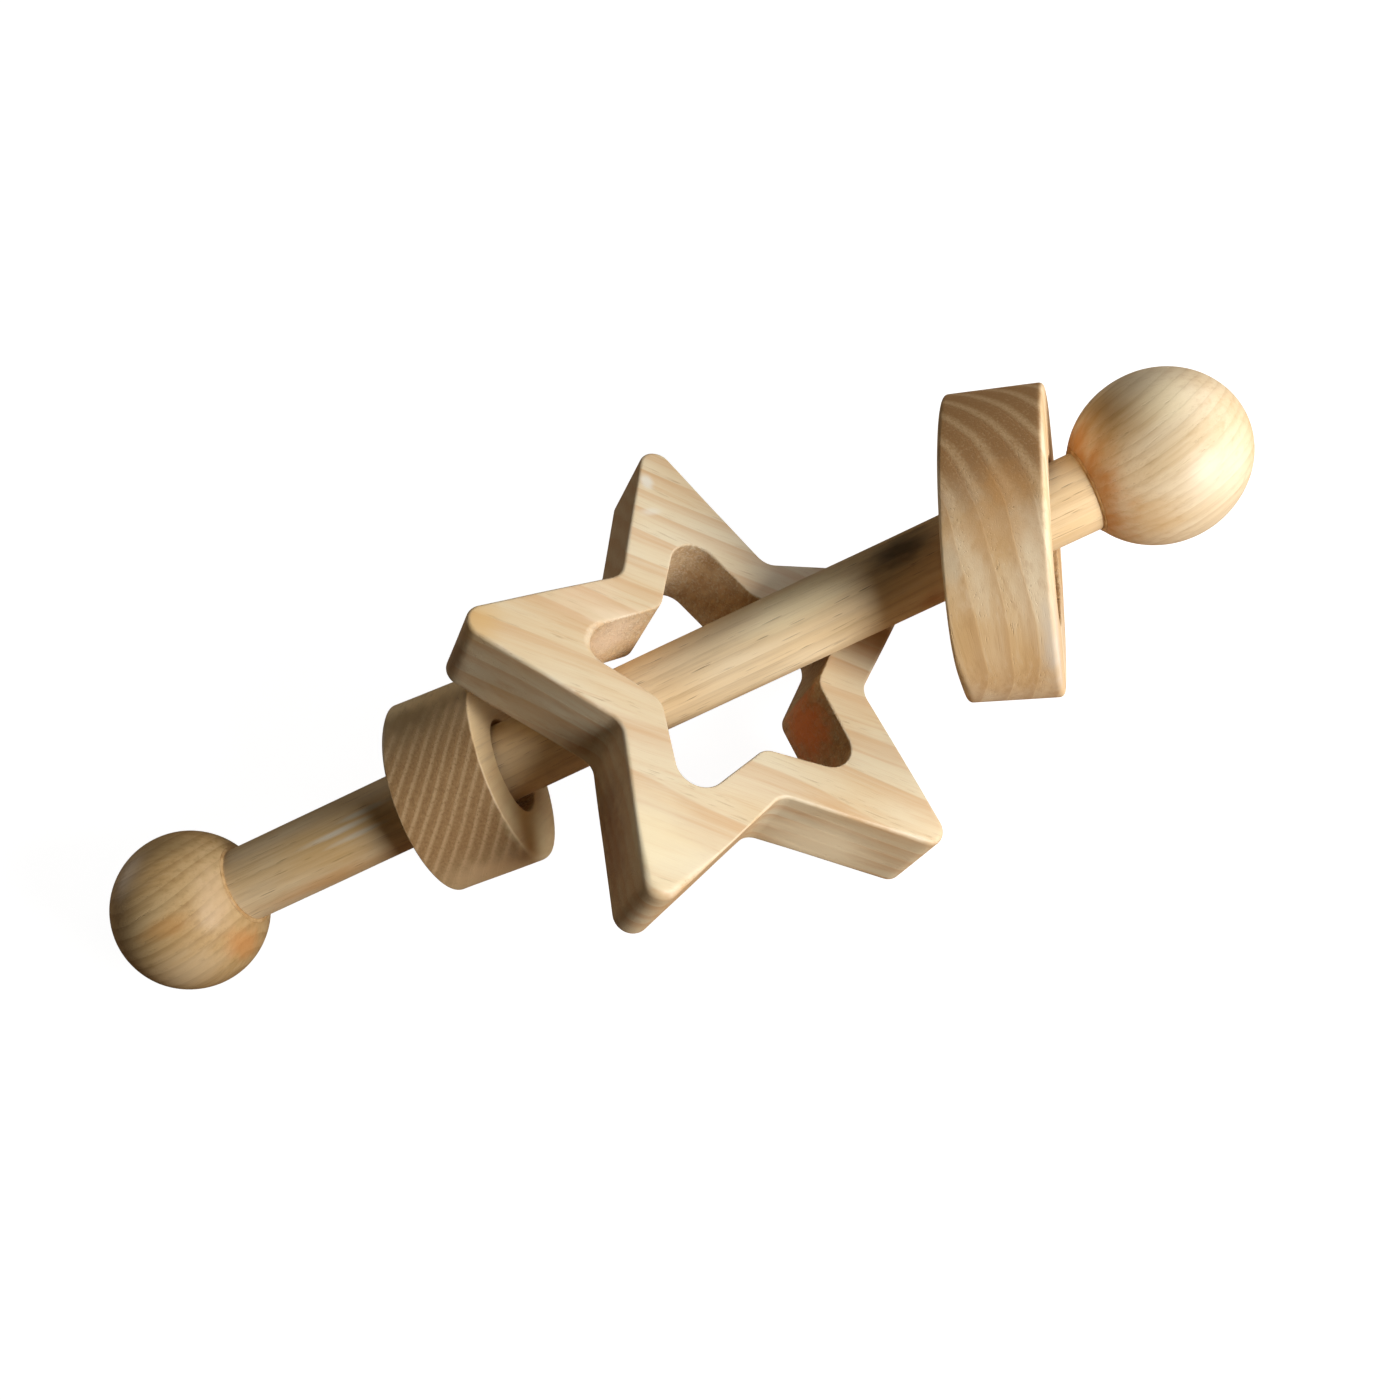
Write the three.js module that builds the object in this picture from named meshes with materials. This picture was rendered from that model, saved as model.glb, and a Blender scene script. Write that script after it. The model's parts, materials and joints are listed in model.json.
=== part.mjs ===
// A wooden star rattle: a dowel with a ball glued on each end, and three loose pieces on it,
// a small ring, a star with a star-shaped hole, and a large ring. Millimetres, +Z up.
// It stands as it was photographed, on its left ball and two points of the star.
import * as THREE from 'three';

// Dowel and end balls, with the dowel along X
const dowelDiameter = 12;
const dowelEndChamfer = 0.8;
const ballSpacing = 162;
const leftBallDiameter = 25.3;
const leftBallLength = 23.2;
const rightBallDiameter = 25.2;
const rightBallLength = 25.7;
const dowelPastBallCentre = 3;
const glueGap = 0.3;

// Small ring
const smallRingDiameter = 30.5;
const smallRingBore = 14.7;
const smallRingWidth = 14.4;
const smallRingEdgeRound = 0.9;

// Large ring
const largeRingDiameter = 45;
const largeRingBore = 23.8;
const largeRingWidth = 14;
const largeRingEdgeRound = 1;

// Star: the radii reach its sharp corners, before they are rounded
const starTipRadius = 42.7;
const starValleyRadius = 21.1;
const starThickness = 14.2;
const starTipRound = 2.8;
const starValleyRound = 3;
const starEdgeRound = 0.7;
const holeTipRadius = 25.1;
const holeCornerRadius = 13.4;
const holeTipRound = 3.7;
const holeCornerRound = 3;

// What a loose piece keeps clear of the dowel where it rests on it
const runningGap = 0.3;

// How the loose pieces lie: where between the dowel's middle and its balls, how far off its axis
// as shares of their play sideways and upwards, the direction in degrees in which they lean,
// and the degrees by which they are turned before they lean
const smallRingPlace = { alongShare: -0.384, offAxisShares: [0.1, -0.76], leansTowards: -157.3, turned: 0 };
const starPlace = { alongShare: 0.116, offAxisShares: [-0.53, -0.08], leansTowards: 101, turned: 8.9 };
const largeRingPlace = { alongShare: 0.698, offAxisShares: [-0.365, -0.2], leansTowards: -174.9, turned: 0 };
const starPoints = 5;
const steepestLean = 80;

// How finely round shapes are divided, and how often a search is repeated
const turnSegments = 40;
const ballArcSegments = 20;
const cornerSegments = 3;
const bevelSegments = 2;
const searchSteps = 30;

const dowelRadius = dowelDiameter / 2;
const boreRadius = dowelRadius + glueGap;
const xAxis = new THREE.Vector3(1, 0, 0);
const yAxis = new THREE.Vector3(0, 1, 0);
const zAxis = new THREE.Vector3(0, 0, 1);

const wood = (name, color) => new THREE.MeshStandardMaterial({ name, color, roughness: 0.55, metalness: 0 });
const dowelWood = wood('dowel wood', 0xc9a777);
const ballWood = wood('ball wood', 0xd6b98c);
const ringWood = wood('ring wood', 0xbf9c6e);
const starWood = wood('star wood', 0xdcc39c);

// A closed outline with each corner rounded by its own radius
function roundedOutline(corners) {
  const points = [];
  corners.forEach(({ corner, radius }, i) => {
    const toLast = corners.at(i - 1).corner.clone().sub(corner).normalize();
    const toNext = corners[(i + 1) % corners.length].corner.clone().sub(corner).normalize();
    const halfAngle = toLast.angleTo(toNext) / 2;
    const inward = toLast.clone().add(toNext).setLength(radius / Math.sin(halfAngle));
    const centre = corner.clone().add(inward);
    const from = toLast.setLength(radius / Math.tan(halfAngle)).sub(inward);
    const to = toNext.setLength(radius / Math.tan(halfAngle)).sub(inward);
    const sweep = Math.sign(from.cross(to)) * from.angleTo(to);
    for (let step = 0; step <= cornerSegments; step++) {
      points.push(from.clone().rotateAround(new THREE.Vector2(), sweep * step / cornerSegments).add(centre));
    }
  });
  return points;
}

// A solid turned about X. The profile's points hold the radius and the place along X.
function turnedAboutX(profile) {
  return new THREE.LatheGeometry(profile, turnSegments).rotateZ(-Math.PI / 2);
}

function dowelGeometry() {
  const halfLength = ballSpacing / 2 + dowelPastBallCentre;
  return turnedAboutX([
    new THREE.Vector2(0, -halfLength),
    new THREE.Vector2(dowelRadius - dowelEndChamfer, -halfLength),
    new THREE.Vector2(dowelRadius, dowelEndChamfer - halfLength),
    new THREE.Vector2(dowelRadius, halfLength - dowelEndChamfer),
    new THREE.Vector2(dowelRadius - dowelEndChamfer, halfLength),
    new THREE.Vector2(0, halfLength),
  ]);
}

// A ball with a blind bore that opens towards -X, about its own centre
function ballGeometry(diameter, length) {
  const mouthAngle = Math.asin(boreRadius / (diameter / 2));
  const profile = [new THREE.Vector2(0, dowelPastBallCentre + glueGap)];
  profile.push(new THREE.Vector2(boreRadius, dowelPastBallCentre + glueGap));
  for (let step = 0; step <= ballArcSegments; step++) {
    const angle = mouthAngle + (Math.PI - mouthAngle) * step / ballArcSegments;
    const radius = step < ballArcSegments ? diameter / 2 * Math.sin(angle) : 0;
    profile.push(new THREE.Vector2(radius, -length / 2 * Math.cos(angle)));
  }
  return turnedAboutX(profile);
}

function ringGeometry(diameter, bore, width, edgeRound) {
  const corner = (radius, along) => ({ corner: new THREE.Vector2(radius, along), radius: edgeRound });
  const outline = roundedOutline([
    corner(bore / 2, width / 2),
    corner(bore / 2, -width / 2),
    corner(diameter / 2, -width / 2),
    corner(diameter / 2, width / 2),
  ]);
  return turnedAboutX([...outline, outline[0].clone()]);
}

// The corners of a star, with the first tip towards +X of its own plane
function starCorners(tipRadius, innerRadius, tipRound, innerRound) {
  const corners = [];
  for (let i = 0; i < 2 * starPoints; i++) {
    const angle = i * Math.PI / starPoints;
    const [distance, radius] = i % 2 === 0 ? [tipRadius, tipRound] : [innerRadius, innerRound];
    corners.push({ corner: new THREE.Vector2(distance, 0).rotateAround(new THREE.Vector2(), angle), radius });
  }
  return corners;
}

// The star lies in the YZ plane, with its first tip towards +Y
function starGeometry() {
  const outline = starCorners(starTipRadius, starValleyRadius, starTipRound, starValleyRound);
  const hole = starCorners(holeTipRadius, holeCornerRadius, holeTipRound, holeCornerRound);
  const shape = new THREE.Shape(roundedOutline(outline));
  shape.holes.push(new THREE.Path(roundedOutline(hole)));
  const geometry = new THREE.ExtrudeGeometry(shape, {
    depth: starThickness - 2 * starEdgeRound,
    bevelThickness: starEdgeRound,
    bevelSize: starEdgeRound,
    bevelOffset: -starEdgeRound,
    bevelSegments,
  });
  geometry.translate(0, 0, starEdgeRound - starThickness / 2);
  return geometry.applyMatrix4(new THREE.Matrix4().makeBasis(yAxis, zAxis, xAxis));
}

function vertexOf(geometry, index) {
  return new THREE.Vector3().fromBufferAttribute(geometry.attributes.position, index);
}

// The distance from the dowel's axis to the nearest point of any triangle edge
function distanceFromAxis(geometry, matrix) {
  const count = geometry.index ? geometry.index.count : geometry.attributes.position.count;
  const offAxis = (i) => {
    const point = vertexOf(geometry, geometry.index ? geometry.index.getX(i) : i).applyMatrix4(matrix);
    return new THREE.Vector2(point.y, point.z);
  };
  let nearest = Infinity;
  for (let first = 0; first < count; first += 3) {
    const triangle = [offAxis(first), offAxis(first + 1), offAxis(first + 2)];
    triangle.forEach((start, i) => {
      const edge = triangle[(i + 1) % 3].clone().sub(start);
      const share = THREE.MathUtils.clamp(-start.dot(edge) / (edge.lengthSq() || 1), 0, 1);
      nearest = Math.min(nearest, start.addScaledVector(edge, share).length());
    });
  }
  return nearest;
}

// Where a loose piece lies when it leans by an angle
function leaning(place, play, lean) {
  const towards = THREE.MathUtils.degToRad(place.leansTowards);
  const hinge = new THREE.Vector3(0, -Math.sin(towards), Math.cos(towards));
  const [sideways, upwards] = place.offAxisShares.map((share) => share * play);
  return new THREE.Matrix4().makeTranslation(place.alongShare * ballSpacing / 2, sideways, upwards)
    .multiply(new THREE.Matrix4().makeRotationAxis(hinge, lean))
    .multiply(new THREE.Matrix4().makeRotationX(THREE.MathUtils.degToRad(place.turned)));
}

// A loose piece leans until it rests on the dowel. Half its opening is openingRadius.
function loosePiece(name, geometry, material, openingRadius, place) {
  const nearestAllowed = dowelRadius + runningGap;
  const play = openingRadius - nearestAllowed;
  let clear = 0;
  let touching = THREE.MathUtils.degToRad(steepestLean);
  for (let step = 0; step < searchSteps; step++) {
    const lean = (clear + touching) / 2;
    if (distanceFromAxis(geometry, leaning(place, play, lean)) > nearestAllowed) {
      clear = lean;
    } else {
      touching = lean;
    }
  }
  const mesh = new THREE.Mesh(geometry, material);
  mesh.name = name;
  mesh.applyMatrix4(leaning(place, play, clear));
  return mesh;
}

function endBall(name, diameter, length, side) {
  const mesh = new THREE.Mesh(ballGeometry(diameter, length), ballWood);
  mesh.name = name;
  mesh.position.x = side * ballSpacing / 2;
  mesh.rotation.z = side > 0 ? 0 : Math.PI;
  return mesh;
}

const dowel = new THREE.Mesh(dowelGeometry(), dowelWood);
dowel.name = 'dowel';
const leftBall = endBall('left_end_ball', leftBallDiameter, leftBallLength, -1);
const rightBall = endBall('right_end_ball', rightBallDiameter, rightBallLength, 1);

const smallRing = loosePiece(
  'small_ring',
  ringGeometry(smallRingDiameter, smallRingBore, smallRingWidth, smallRingEdgeRound),
  ringWood,
  smallRingBore / 2,
  smallRingPlace,
);
const starRing = loosePiece('star_ring', starGeometry(), starWood, holeCornerRadius, starPlace);
const largeRing = loosePiece(
  'large_ring',
  ringGeometry(largeRingDiameter, largeRingBore, largeRingWidth, largeRingEdgeRound),
  ringWood,
  largeRingBore / 2,
  largeRingPlace,
);

const rattle = new THREE.Group();
rattle.name = 'star rattle';
rattle.add(dowel, leftBall, rightBall, smallRing, starRing, largeRing);

// All corners of a geometry, in its own frame
function cornersOf(geometry) {
  const { count } = geometry.attributes.position;
  return Array.from({ length: count }, (_, i) => vertexOf(geometry, i));
}

// A mesh's own points in the dowel's frame
function placed(points, mesh) {
  mesh.updateMatrix();
  return points.map((point) => point.applyMatrix4(mesh.matrix));
}

// The corners of one of the star's tips, in the dowel's frame
function tipCorners(tip) {
  const direction = new THREE.Vector2(1, 0).rotateAround(new THREE.Vector2(), 2 * Math.PI * tip / starPoints);
  const ofTip = cornersOf(starRing.geometry).filter((point) => {
    const inPlane = new THREE.Vector2(point.y, point.z);
    return inPlane.length() > holeTipRadius && inPlane.angleTo(direction) < Math.PI / starPoints;
  });
  return placed(ofTip, starRing);
}

function lowestPoint(points, down) {
  return points.reduce((lowest, point) => (point.dot(down) > lowest.dot(down) ? point : lowest));
}

// The floor touches the left ball and the star's fourth and fifth tips
function directionOfFloor() {
  const supports = [placed(cornersOf(leftBall.geometry), leftBall), tipCorners(3), tipCorners(4)];
  let down = zAxis.clone().negate();
  for (let step = 0; step < searchSteps; step++) {
    const [ball, fourthTip, fifthTip] = supports.map((points) => lowestPoint(points, down));
    const normal = fourthTip.clone().sub(ball).cross(fifthTip.clone().sub(ball)).normalize();
    down = normal.dot(down) > 0 ? normal : normal.negate();
  }
  return down;
}

// Stand the rattle on the floor, with the dowel running towards +X
const up = directionOfFloor().negate();
const along = xAxis.clone().projectOnPlane(up).normalize();
const across = up.clone().cross(along);
rattle.quaternion.setFromRotationMatrix(new THREE.Matrix4().makeBasis(along, across, up).transpose());
const box = new THREE.Box3().setFromObject(rattle, true);
const middle = box.getCenter(new THREE.Vector3());
rattle.position.set(-middle.x, -middle.y, -box.min.z);

export default rattle;
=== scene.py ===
# The looks of a wooden star rattle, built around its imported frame. Metres, +Z up.
# Every piece is oiled ash, cut from its own place in a log: the grain, the growth rings, the pores
# and the darker end grain all follow from how that piece lies in the log.
# Sizes of pieces are in millimetres here, and the camera, lamps, floor and room are in metres.
import json
import math
from collections import namedtuple
from dataclasses import dataclass

import bpy
import numpy as np
from mathutils import Matrix, Vector, noise


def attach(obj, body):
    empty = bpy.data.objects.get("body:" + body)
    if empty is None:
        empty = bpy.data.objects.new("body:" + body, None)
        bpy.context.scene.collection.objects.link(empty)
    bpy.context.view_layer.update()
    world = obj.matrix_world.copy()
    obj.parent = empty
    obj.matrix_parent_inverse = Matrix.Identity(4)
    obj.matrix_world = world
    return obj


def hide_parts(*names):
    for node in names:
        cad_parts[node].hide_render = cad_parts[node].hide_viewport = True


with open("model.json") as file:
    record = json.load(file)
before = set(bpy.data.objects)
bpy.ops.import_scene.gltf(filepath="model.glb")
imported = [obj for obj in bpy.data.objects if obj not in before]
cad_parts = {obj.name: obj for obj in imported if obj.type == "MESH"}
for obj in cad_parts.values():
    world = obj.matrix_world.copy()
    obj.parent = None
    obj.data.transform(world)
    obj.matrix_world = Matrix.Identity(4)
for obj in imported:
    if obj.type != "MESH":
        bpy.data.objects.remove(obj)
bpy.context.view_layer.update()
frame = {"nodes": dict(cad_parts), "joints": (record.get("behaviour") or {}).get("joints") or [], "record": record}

MM = 0.001

# How far a smooth piece stays inside its faceted solid
INSET = 0.05

# The dowel sits in its balls with room for the glue, and ends past their centres
GLUE_GAP = 0.3
DOWEL_PAST_CENTRE = 3.0
DOWEL_CHAMFER = 0.8
BALL_MOUTH_ROUND = 0.2

# The glue line's section: in from the ball's mouth, and out from the dowel's surface
GLUE_SECTION = ((2.0, -0.2), (-0.08, -0.07), (0.0, 0.1), (0.05, 0.3), (0.12, 0.45), (2.0, 0.33))

# The star's outline and its hole, as in the solids: radii of the sharp corners, and their rounding
POINTS = 5
STAR_TIP_RADIUS = 42.65
STAR_VALLEY_RADIUS = 21.05
STAR_TIP_ROUND = 2.8
STAR_VALLEY_ROUND = 3.0
HOLE_TIP_RADIUS = 25.1
HOLE_CORNER_RADIUS = 13.4
HOLE_TIP_ROUND = 3.7
HOLE_CORNER_ROUND = 3.0

# How finely the pieces are divided
DOWEL_STATIONS = 260
DOWEL_SEGMENTS = 112
BALL_STATIONS = 110
BALL_SEGMENTS = 144
MOUTH_STATIONS = 8
GLUE_SEGMENTS = 96
RING_STATIONS = 220
STAR_ARC_STATIONS = 20
STAR_SIDE_STEPS = 22
FILLET_STATIONS = 9
GRID_SPACING = 0.65

# Where the camera stands: what it looks at, from where in degrees and metres, and how it is rolled
VIEW_TARGET = Vector((6.02, -1.08, 20.0)) * MM
VIEW_DISTANCE = 200.5 * MM
VIEW_AZIMUTH = 2.24
VIEW_ELEVATION = 57.26
VIEW_ROLL = 22.96
FOCAL_LENGTH_PX = 1327.3
IMAGE_PX = 1400
SENSOR_MM = 36.0
NEAREST_SEEN = 0.01

# A round lamp aimed at the middle: its direction in degrees, then distance, width, strength and tint
Lamp = namedtuple("Lamp", "name azimuth elevation distance width strength tint")
LAMPS = (
    Lamp("window", 311, 22, 0.34, 0.18, 1.12, (1.0, 0.98, 0.95)),
    Lamp("right_side", 10, 24, 0.34, 0.26, 0.52, (1.0, 0.98, 0.95)),
    Lamp("back_left", 140, 10, 0.75, 0.36, 0.15, (1.0, 0.9, 0.76)),
)

# The floor: its reach, its seen and its bounced tone, and its glow, which rises away from the middle
FLOOR_REACH = 3.0
FLOOR_SEEN = (0.3, 0.3, 0.3, 1)
FLOOR_BOUNCE = (0.26, 0.15, 0.08, 1)
FLOOR_GLOW = 0.95
FLOOR_EXTRA_GLOW = 0.07
FLOOR_GLOW_RISES = (0.12, 0.5)
ROOM_TINT = (1.0, 0.8, 0.58, 1)
ROOM_STRENGTH = 0.03
WHITE = (1, 1, 1, 1)

# A pattern in the wood: how often it repeats per millimetre, along the grain and twice across it
Pattern = namedtuple("Pattern", "often detail")
STREAKS = Pattern((0.035, 1.3, 1.3), 4.0)
FIBRES = Pattern((0.12, 6.0, 6.0), 2.0)
CELLS = Pattern((0.5, 2.6, 2.6), 3.0)
PORES = Pattern((0.22, 5.0, 5.0), 1.0)
BLOTCHES = Pattern((0.03, 0.09, 0.09), 2.0)
CLOUDS = Pattern((0.12, 0.45, 0.45), 3.0)
EDGE_WEAR_AND_LIGHT_PATTERN = Pattern((0.3, 0.3, 0.3), 3.0)

# How often the grain strays from one fibre to the next, per millimetre across it
BENDS_ACROSS = 0.07

# Patterns of a sawn wall, per millimetre in the piece's own axes, and of dried glue, per metre
SPECKLES = Pattern((2.4, 2.4, 2.4), 3.0)
TORN_FIBRES = Pattern((0.5, 1.1, 1.1), 3.0)
GLUE_MOTTLE = Pattern((600, 600, 600), 2.0)

# The levels of a pattern between which its mark comes in
BLOTCH_LEVELS = (0.35, 0.65)
DARK_STREAK_LEVELS = (0.5, 0.72)
PALE_STREAK_LEVELS = (0.5, 0.3)
DARK_FIBRE_LEVELS = (0.52, 0.75)
DARK_CELL_LEVELS = (0.5, 0.68)
PALE_CELL_LEVELS = (0.48, 0.32)
WHOLE_LINE_LEVELS = (0.85, 0.45)
PORE_LEVELS = (0.62, 0.72)
SPECKLE_LEVELS = (0.48, 0.66)
TORN_LEVELS = (0.42, 0.62)
EDGE_WEAR_AND_LIGHT_LEVELS = (0.35, 0.65)
GLUE_LEVELS = (0.35, 0.65)

# Bands in a growth ring, as shares of its width: where each begins, is full, starts to fade and ends
LATE_WOOD = (0.3, 0.93, 0.93, 1.0)
PALE_LINE = (0.0, 0.22, 0.26, 0.58)
EARLY_WOOD_FADES = (0.05, 0.45)

# How squarely a surface faces the grain where it looks wholly like end grain
END_GRAIN_FULL = 0.95

# How strongly the marks show that are alike in every piece
YEAR_SHARE = 0.35
FIBRE_SHARE = 0.5
DARK_CELL_SHARE = 0.35
PALE_CELL_SHARE = 0.25
LATE_PORE_SHARE = 0.25
TORN_SHARE = 0.5
SPECKLE_SHARE = 0.6
SAWN_SHARE = 0.7
EDGE_WEAR_AND_LIGHT_SHARE = 0.4

# Relief of the wood, as weights of its patterns, and its height in metres
FIBRE_RELIEF = 0.5
LATE_WOOD_RELIEF = 0.35
CELL_RELIEF = 0.9
SPECKLE_RELIEF = 2.5
RELIEF_STRENGTH = 0.6
RELIEF_HEIGHT = 0.00006

# Sheen of the oiled wood and of the glue
WOOD_ROUGHNESS = 0.42
STREAK_ROUGHNESS = 0.16
GLUE_ROUGHNESS = 0.45

# A soft patch of another tone, with its centre and reach in the piece's own axes. Some patches are real stains;
# others are painted light or painted shade.
StainAndPaintedLight = namedtuple("StainAndPaintedLight", "centre reach tone strength")
STAIN_AND_LIGHT_CLOUDING = 0.9
STAIN_AND_LIGHT_LEVELS = (1.45, 0.6)

# How sanding left a surface: how deep it sinks, how wide each hollow is, and which hollows
Finish = namedtuple("Finish", "depth size seed")

# How far apart in the noise two neighbouring seeds are
SEED_STEPS = (17.3, 5.1, 9.7)

# A rounded edge, whose radius wanders between two values, and the places on it that are worn rounder
Edge = namedtuple("Edge", "low high waves wear", defaults=((),))
Wear = namedtuple("Wear", "place reach extra")

# The tones of one piece of wood, as screen colours from 0 to 255. The worn tone, laid on rounded edges, is partly
# wear and partly painted light on the rims.
Tones = namedtuple("Tones", "pale warm dark pore end line worn")


@dataclass
class Cut:
    """How a piece lies in its log, in the piece's own axes, and how strongly its grain shows."""

    fibre: tuple  # the direction of the grain
    outward: tuple  # the direction away from the log's heart
    ring_width: float
    wander: float  # how far the grain strays
    waves: float = 0.02  # how often it strays, per millimetre
    pith: float = 60.0  # how far away the log's heart is
    ring_depth: float = 0.5
    flat_rings: float = 1.0  # how much of the rings' depth the long grain shows
    line_depth: float = 0.5
    streak_depth: float = 0.35
    end_depth: float = 0.6
    end_from: float = 0.35  # how squarely a surface faces the grain where end grain begins to show
    pore_depth: float = 0.5


def unit(vector):
    return vector / np.linalg.norm(vector)


def surface_moments(node):
    """The centre of a node's surface and its covariance about it, over the whole area."""
    mesh = frame["nodes"][node].data
    mesh.calc_loop_triangles()
    points = np.array([v.co for v in mesh.vertices], float)
    corners = points[np.array([t.vertices for t in mesh.loop_triangles])]
    area = np.array([t.area for t in mesh.loop_triangles])
    centre = (area[:, None] * corners.mean(1)).sum(0) / area.sum()
    corners = corners - centre
    total = corners.sum(1)
    outer = np.einsum("tki,tkj->tij", corners, corners) + np.einsum("ti,tj->tij", total, total)
    return centre, (area[:, None, None] * outer).sum(0) / area.sum()


def turning_axis(node, towards):
    """Centre and axis of a node that is round, or a regular star, about one axis."""
    centre, covariance = surface_moments(node)
    values, vectors = np.linalg.eigh(covariance)
    odd_one = 0 if values[1] - values[0] > values[2] - values[1] else 2
    axis = vectors[:, odd_one]
    return centre, axis * np.sign(axis @ towards)


def axes_from(axis, side):
    """Three axes as columns: the axis, the side made square to it, and the third."""
    side = unit(side - (side @ axis) * axis)
    return np.column_stack([axis, side, np.cross(axis, side)])


def extents(node, centre, axis):
    """A node's reach: lowest and highest along the axis, least and greatest off it."""
    points = (np.array([v.co for v in frame["nodes"][node].data.vertices], float) - centre) / MM
    along = points @ axis
    off_axis = np.linalg.norm(points - along[:, None] * axis, axis=1)
    return along.min(), along.max(), off_axis.min(), off_axis.max()


class Place:
    """Where a piece is: its centre in metres and its own axes, with the first as its turning axis."""

    def __init__(self, centre, axes):
        self.centre = np.array(centre, float)
        self.axes = axes

    def to_frame(self, local):
        return local * MM @ self.axes.T + self.centre


def colour(red, green, blue):
    """A colour as it looks on a screen, from 0 to 255, in linear light."""
    linear = [((x / 255 + 0.055) / 1.055) ** 2.4 for x in (red, green, blue)]
    return (*linear, 1.0)


class Shader:
    """The nodes of a material or world, made with short calls.

    A value is a number, a colour or another node's output.
    """

    def __init__(self, owner):
        owner.use_nodes = True
        self.tree = owner.node_tree
        self.tree.nodes.clear()

    def node(self, kind, values=None, **settings):
        node = self.tree.nodes.new("ShaderNode" + kind)
        for name, value in settings.items():
            setattr(node, name, value)
        for name, value in (values or {}).items():
            self.plug(node.inputs[name], value)
        return node

    def plug(self, socket, value):
        if isinstance(value, bpy.types.NodeSocket):
            self.tree.links.new(value, socket)
        else:
            socket.default_value = value

    def math(self, operation, first, second=0.0):
        return self.node("Math", {0: first, 1: second}, operation=operation).outputs[0]

    def vector(self, operation, first, second=(0, 0, 0)):
        node = self.node("VectorMath", {0: first, 1: second}, operation=operation)
        return node.outputs["Value" if operation in ("DOT_PRODUCT", "LENGTH") else "Vector"]

    def product(self, first, *others):
        for other in others:
            first = self.math("MULTIPLY", first, other)
        return first

    def total(self, *parts):
        """The sum of some values, each times its weight."""
        result = 0.0
        for value, weight in parts:
            result = self.math("ADD", result, self.math("MULTIPLY", value, weight))
        return result

    def noise(self, vector, pattern, output="Fac"):
        placed = self.vector("MULTIPLY", vector, pattern.often)
        values = {"Vector": placed, "Scale": 1.0, "Detail": pattern.detail, "Roughness": 0.55}
        return self.node("TexNoise", values).outputs[output]

    def span(self, value, low, high):
        """0 at low, 1 at high, and smooth between them."""
        values = {"Value": value, "From Min": low, "From Max": high, "To Min": 0.0, "To Max": 1.0}
        return self.node("MapRange", values, interpolation_type="SMOOTHSTEP").outputs["Result"]

    def band(self, value, begins, full, fades, ends):
        """1 between full and fades, and 0 outside begins and ends."""
        return self.product(self.span(value, begins, full), self.span(value, ends, fades))

    def mix(self, share, first, second):
        node = self.node("Mix", {"Factor": share}, data_type="RGBA")
        colour_sockets = [socket for socket in node.inputs if socket.type == "RGBA"]
        self.plug(colour_sockets[0], first)
        self.plug(colour_sockets[1], second)
        return next(socket for socket in node.outputs if socket.type == "RGBA")

    def blend(self, under, over, *shares):
        """One tone laid over another, by the product of some shares."""
        return self.mix(self.product(*shares), under, over)

    def attribute(self, name):
        return self.node("Attribute", attribute_name=name).outputs["Fac"]

    def output(self, surface, kind="OutputMaterial"):
        self.node(kind, {"Surface": surface})


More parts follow.
